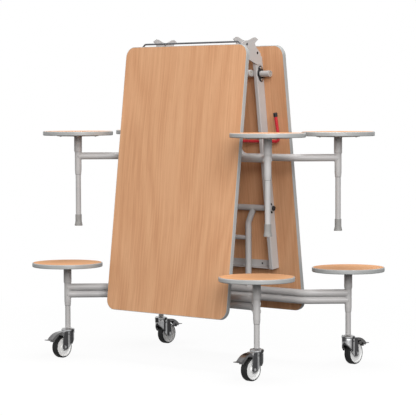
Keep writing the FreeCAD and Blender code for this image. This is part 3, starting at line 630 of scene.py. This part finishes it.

# a dark ring at the mouth of each swaged collar on the tube below it: a painted shade line standing in for
# the shadow under the collar's step
collarShadeRing = {"innerRadiusMm": 12.52, "outerRadiusMm": 13.6, "heightMm": 1.1, "gapMm": 0.05, "sides": 40}
for kind, half in stoolFrames:
    points, faces = [], []
    at, look = stoolFrame, collarShadeRing
    sides = look["sides"]
    mouth = at["plateBottom"] - at["sleeveLength"] - at["coneLength"] - at["collarLength"] - at["collarTaper"]
    top = mouth - look["gapMm"]
    low = top - look["heightMm"]
    section = [(look["outerRadiusMm"], low), (look["outerRadiusMm"], top),
               (look["innerRadiusMm"], top), (look["innerRadiusMm"], low)]
    for side in (-1, 1):
        base = len(points)
        for radius, height in section:
            points += circleLine(legPoint(side, height), radius, sides)
        for ring in range(len(section)):
            here = base + ring * sides
            there = base + (ring + 1) % len(section) * sides
            for k in range(sides):
                after = (k + 1) % sides
                faces.append((here + k, here + after, there + after, there + k))
    placed = [framePoint(p, kind, half) for p in points]
    meshPiece(kind + "CollarShadeRings_" + half, placed, faces, kind + "_frame_" + half,
              "mouldedGraphiteNylon")
print("collar rings set")

# moulded plugs in the open ends of the inner pivot tubes, each with a dimple from its gate
tubePlug = {"radiusMm": 11.85, "lengthMm": 12.0, "setBackMm": 0.4, "edgeMm": 0.8,
            "dimpleRadiusMm": 4.2, "dimpleEdgeMm": 0.6, "dimpleDepthMm": 6.0, "dimpleTaper": 0.8,
            "sides": 40, "endsMm": (-371.0, 310.0)}
for half in halves:
    points, faces = [], []
    look = tubePlug
    face = -look["setBackMm"]
    radius, dimple = look["radiusMm"], look["dimpleRadiusMm"]
    profile = [(radius, face - look["lengthMm"]), (radius, face - look["edgeMm"]),
               (radius - look["edgeMm"], face), (dimple + look["dimpleEdgeMm"], face),
               (dimple, face - look["dimpleEdgeMm"]),
               (dimple * look["dimpleTaper"], face - look["dimpleDepthMm"])]
    for end in look["endsMm"]:
        spot = framePoint(Vector((end, 0, 0)), "inner", half)
        turnedPiece(profile, spot, (halves[half] * end, 0, 0), look["sides"], points, faces)
    meshPiece("innerTubePlugs_" + half, points, faces, "inner_frame_" + half,
              "mouldedGreyNylon")
print("tube plugs pressed in")


def leafPoint(x, along, up, half):
    # a point of the open leaf, in millimetres about the hinge pin, folded up with it
    y = along * math.cos(foldTurn) + up * math.sin(foldTurn)
    z = up * math.cos(foldTurn) - along * math.sin(foldTurn) + hingePin.z
    side = halves[half]
    return Vector((side * x, side * y, z)) * mm


# black pan-head screws that hold the cross angles to the leaves
crossAngle = {"undersideMm": 110.0, "endMm": 1029.0, "legMm": 32.0, "thicknessMm": 3.0, "screwOutMm": 152.0}
# black bolts in the hinge plates, placed along the leaf from the pin and up from the pin
hingeBolt = {"placesMm": ((-15.5, 6.82), (31.0, 73.0)), "plateInsideMm": {"rear": 250.0, "front": 244.5},
             "plateThicknessMm": 5.0, "radiusMm": 5.9, "edgeMm": 0.5, "setBackMm": 0.2,
             "socketMm": 2.6, "socketEdgeMm": 0.3, "socketDepthMm": 2.2, "sides": 36}
for half in halves:
    points, faces = [], []
    look = crossAngle
    row, underside = look["endMm"] - look["legMm"] / 2, look["undersideMm"] - look["thicknessMm"]
    downwards = leafPoint(0, 0, -1, half) - leafPoint(0, 0, 0, half)
    for x in (-look["screwOutMm"], look["screwOutMm"]):
        screwHead(leafPoint(x, row, underside, half), downwards, points, faces)
    meshPiece("angleScrews_" + half, points, faces, "leaf_" + half, "blackOxideSteel")

    points, faces = [], []
    look = hingeBolt
    radius, edge, socket = look["radiusMm"], look["edgeMm"], look["socketMm"]
    inside, outside = look["setBackMm"], look["plateThicknessMm"] - look["setBackMm"]
    profile = [(radius - edge, inside), (radius, inside + edge), (radius, outside - edge),
               (radius - edge, outside), (socket + look["socketEdgeMm"], outside),
               (socket, outside - look["socketEdgeMm"]), (socket, outside - look["socketDepthMm"])]
    for side in (-1, 1):
        for along, up in look["placesMm"]:
            spot = leafPoint(side * look["plateInsideMm"][half], along, up, half)
            turnedPiece(profile, spot, (side * halves[half], 0, 0), look["sides"], points, faces)
    meshPiece("hingePlateBolts_" + half, points, faces, "leaf_" + half, "blackOxideSteel")
print("leaf screws and hinge bolts fitted")

# pressed steel nose plate over the front of each castor shield: it follows the shield's lower edge,
# which slopes back and turns up in a corner
nosePlate = {"radiusMm": 28.7, "thickMm": 0.6, "spanDegrees": 72.0, "topMm": 122.6, "hemMm": 1.5,
             "shieldRadiusMm": 28.0, "slopeStartMm": 94.0, "slopeFall": 1.161,
             "cornerReachMm": 7.4, "cornerRadiusMm": 30.8, "cornerRiseMm": 11.4, "columns": 28, "rows": 5}
# moulded cap on each side of the castor head; its edge is in millimetres in from the rim and down
# from the face
castorCap = {"reachMm": 31.0, "heightMm": 127.5, "radiusMm": 6.5, "thickMm": 3.6, "sunkMm": 1.0,
             "edgeMm": ((0.0, 1.2), (0.5, 0.4), (1.5, 0.0)), "sides": 32}


def shieldEdge(behind):
    # height of the shield's lower edge at a distance behind its front
    look = nosePlate
    if behind > look["cornerReachMm"]:
        return look["slopeStartMm"] - behind * look["slopeFall"]
    radius = look["cornerRadiusMm"]
    fall = math.sqrt(max(radius ** 2 - (radius - behind) ** 2, 0.0))
    return look["slopeStartMm"] + look["cornerRiseMm"] - fall


def nosePlateMesh(castorPoint):
    look = nosePlate
    columns, rows = look["columns"], look["rows"]
    span = math.radians(look["spanDegrees"])
    points, faces = [], []
    for radius in (look["radiusMm"], look["radiusMm"] - look["thickMm"]):
        for column in range(columns + 1):
            turn = span * (2 * column / columns - 1)
            x, y = radius * math.sin(turn), -radius * math.cos(turn)
            bottom = shieldEdge(look["shieldRadiusMm"] * (1 - math.cos(turn))) + look["hemMm"]
            for row in range(rows + 1):
                points.append(castorPoint(x, y, bottom + (look["topMm"] - bottom) * row / rows))
    tall = rows + 1
    layer = tall * (columns + 1)
    for column in range(columns):
        for row in range(rows):
            a = column * tall + row
            faces.append((a, a + tall, a + tall + 1, a + 1))
            faces.append((layer + a, layer + a + 1, layer + a + tall + 1, layer + a + tall))
        low, high = column * tall, column * tall + rows
        faces.append((low, layer + low, layer + low + tall, low + tall))
        faces.append((high, high + tall, layer + high + tall, layer + high))
    for row in range(rows):
        last = columns * tall + row
        faces.append((row, row + 1, layer + row + 1, layer + row))
        faces.append((last, layer + last, layer + last + 1, last + 1))
    return points, faces


for half in halves:
    for side in ("left", "right"):
        castor = half + "_" + side
        swivel = jointPlace("castor_swivel_" + castor)
        facing = halves[half]

        def castorPoint(x, y, z):
            # x and y from the swivel axis and z from the floor, in millimetres; the shield is at -y
            return Vector((swivel.x + facing * x, swivel.y + facing * y, z)) * mm

        points, faces = nosePlateMesh(castorPoint)
        meshPiece("castorNosePlate_" + castor, points, faces, "castor_" + castor,
                  "pressedCastorSteel")
        points, faces = [], []
        look = castorCap
        radius, thick = look["radiusMm"], look["thickMm"]
        profile = [(radius, -look["sunkMm"])]
        profile += [(radius - inset, thick - down) for inset, down in look["edgeMm"]]
        for way in (-1, 1):
            spot = castorPoint(way * look["reachMm"], 0, look["heightMm"])
            turnedPiece(profile, spot, (way * facing, 0, 0), look["sides"], points, faces)
        meshPiece("castorCaps_" + castor, points, faces, "castor_" + castor,
                  "mouldedBlackNylon")
print("castor plates and caps fitted")

# white seamless floor: the camera sees it lit through, so the shadow stays faint and there is no
# horizon; the object only gets a dim bounce from it, which keeps the undersides dark
floorPaper = {"size": 30.0, "shadowPaper": "#F4F4F4", "bouncePaper": "#525252", "glowNear": 0.93,
              "nearReach": 1.3, "farReach": 3.0, "inGloss": 0.45}

floorMaterial = bpy.data.materials.new("seamlessPaper")
floorMaterial.use_nodes = True
floorTree = floorMaterial.node_tree
floorTree.nodes.clear()
lightPath = addNode(floorTree, "ShaderNodeLightPath")
seen = addNode(floorTree, "ShaderNodeMath", {"operation": "MAXIMUM"},
               {0: lightPath.outputs["Is Camera Ray"], 1: lightPath.outputs["Is Transmission Ray"]})
floorPlace = addNode(floorTree, "ShaderNodeTexCoord").outputs["Object"]
distance = addNode(floorTree, "ShaderNodeVectorMath", {"operation": "LENGTH"}, {0: floorPlace})
glowShare = addNode(floorTree, "ShaderNodeMapRange",
                    {"From Min": floorPaper["nearReach"], "From Max": floorPaper["farReach"],
                     "To Min": floorPaper["glowNear"], "To Max": 1.0}, {"Value": distance.outputs["Value"]})
glossShare = addNode(floorTree, "ShaderNodeMath", {"operation": "MULTIPLY", 1: floorPaper["inGloss"]},
                     {0: lightPath.outputs["Is Glossy Ray"]})
share = addNode(floorTree, "ShaderNodeMath", {"operation": "MULTIPLY_ADD"},
                {0: seen.outputs[0], 1: glowShare.outputs[0], 2: glossShare.outputs[0]})
paperColour = addNode(floorTree, "ShaderNodeMix",
                      {"data_type": "RGBA", 6: hexColour(floorPaper["bouncePaper"]),
                       7: hexColour(floorPaper["shadowPaper"])}, {0: seen.outputs[0]})
paper = addNode(floorTree, "ShaderNodeBsdfDiffuse", None, {"Color": paperColour.outputs[2]})
glow = addNode(floorTree, "ShaderNodeEmission", {"Color": (1, 1, 1, 1), "Strength": 1.0})
paperMix = addNode(floorTree, "ShaderNodeMixShader", None,
                   {0: share.outputs[0], 1: paper.outputs[0], 2: glow.outputs[0]})
addNode(floorTree, "ShaderNodeOutputMaterial", None, {"Surface": paperMix.outputs[0]})

floorMesh = bpy.data.meshes.new("studioFloor")
floorEdge = floorPaper["size"] / 2
corners = [(-floorEdge, -floorEdge, 0), (floorEdge, -floorEdge, 0), (floorEdge, floorEdge, 0),
           (-floorEdge, floorEdge, 0)]
floorMesh.from_pydata(corners, [], [(0, 1, 2, 3)])
floorMesh.materials.append(floorMaterial)
studioFloor = bpy.data.objects.new("studioFloor", floorMesh)
bpy.context.scene.collection.objects.link(studioFloor)
print("floor laid")

# even white surround: white to the camera, bright in gloss, dim as light on the table
studioSky = {"strength": 0.34, "inGloss": 0.9}
world = bpy.data.worlds.new("studioSky")
bpy.context.scene.world = world
world.use_nodes = True
skyTree = world.node_tree
skyTree.nodes.clear()
skyPath = addNode(skyTree, "ShaderNodeLightPath")
skySeen = addNode(skyTree, "ShaderNodeMath", {"operation": "MAXIMUM"},
                  {0: skyPath.outputs["Is Camera Ray"], 1: skyPath.outputs["Is Transmission Ray"]})
skyInGloss = addNode(skyTree, "ShaderNodeMapRange",
                     {"To Min": studioSky["strength"], "To Max": studioSky["inGloss"]},
                     {"Value": skyPath.outputs["Is Glossy Ray"]})
skyStrength = addNode(skyTree, "ShaderNodeMapRange", {"To Max": 1.0},
                      {"Value": skySeen.outputs[0], "To Min": skyInGloss.outputs[0]})
sky = addNode(skyTree, "ShaderNodeBackground", {"Color": (1, 1, 1, 1)}, {"Strength": skyStrength.outputs[0]})
addNode(skyTree, "ShaderNodeOutputWorld", None, {"Surface": sky.outputs[0]})

# large square lamps, all turned to the middle of the table
lampAim = (0.0, 0.0, 0.7)
softboxes = {
    "key": {"place": (-2.4, -7.4, 4.0), "size": 4.4, "power": 112.0},
    "fill": {"place": (6.3, -5.0, 3.9), "size": 4.8, "power": 660.0},
    "top": {"place": (0.4, 0.3, 9.0), "size": 4.0, "power": 430.0},
}
for name, look in softboxes.items():
    lampData = bpy.data.lights.new(name + "Softbox", "AREA")
    lampData.shape = "SQUARE"
    lampData.size = look["size"]
    lampData.energy = look["power"]
    lamp = bpy.data.objects.new(name + "Softbox", lampData)
    lamp.location = look["place"]
    lamp.rotation_euler = (Vector(lampAim) - Vector(look["place"])).to_track_quat("-Z", "Y").to_euler()
    bpy.context.scene.collection.objects.link(lamp)
print("studio lit")
